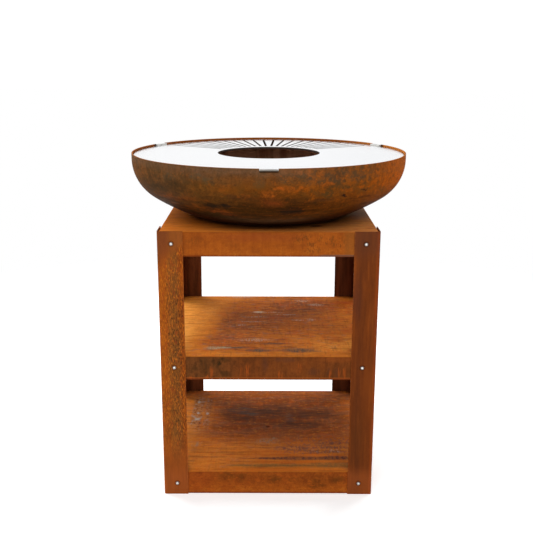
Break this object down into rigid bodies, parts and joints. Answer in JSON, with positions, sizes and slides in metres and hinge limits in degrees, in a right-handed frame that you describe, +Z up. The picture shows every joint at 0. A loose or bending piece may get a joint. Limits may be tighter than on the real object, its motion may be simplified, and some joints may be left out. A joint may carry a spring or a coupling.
{
  "type": "plancha cooking unit",
  "caption": "Free-standing wood-fired plancha: a dished weathering-steel fire bowl with a round slotted cooking plate, on an open square bolted stand with storage shelves.",
  "frame": {"origin": "on the floor, at the centre of the stand and below the bowl's axis", "axes": "+Z up along the bowl's axis, -Y towards the front, where the single front lug is, +X to the right seen from the front"},
  "size_m": [0.8, 0.803, 0.9542],
  "materials": {
    "weathering_steel": "rusted weathering steel sheet, matt, orange to red-brown with dark grain",
    "bowl_steel": "rusted weathering steel, matt, brown with grey mottling",
    "polished_steel": "bright ground and polished steel",
    "lug_steel": "plain bright flat bar",
    "zinc_plate": "zinc-plated steel fasteners"
  },
  "bodies": {
    "stand": {"front_left_post": "weathering_steel", "front_right_post": "weathering_steel", "rear_left_post": "weathering_steel", "rear_right_post": "weathering_steel", "top_plate": "weathering_steel", "middle_shelf": "weathering_steel", "bottom_shelf": "weathering_steel", "top_plate_bolts": "zinc_plate", "top_plate_washers": "zinc_plate", "top_plate_nuts": "zinc_plate", "middle_shelf_bolts": "zinc_plate", "middle_shelf_washers": "zinc_plate", "middle_shelf_nuts": "zinc_plate", "bottom_shelf_bolts": "zinc_plate", "bottom_shelf_washers": "zinc_plate", "bottom_shelf_nuts": "zinc_plate"},
    "bowl": {"fire_bowl": "bowl_steel"},
    "plancha": {"plancha_plate": "polished_steel", "front_rest_lug": "lug_steel", "rear_left_rest_lug": "lug_steel", "rear_right_rest_lug": "lug_steel"}
  },
  "joints": [
    {"name": "bowl_lift", "type": "slide", "parent": "stand", "child": "bowl", "axis": [0, 0, 1], "range_m": [0, 0.15]},
    {"name": "plancha_lift", "type": "slide", "parent": "bowl", "child": "plancha", "axis": [0, 0, 1], "range_m": [0, 0.15]}
  ]
}
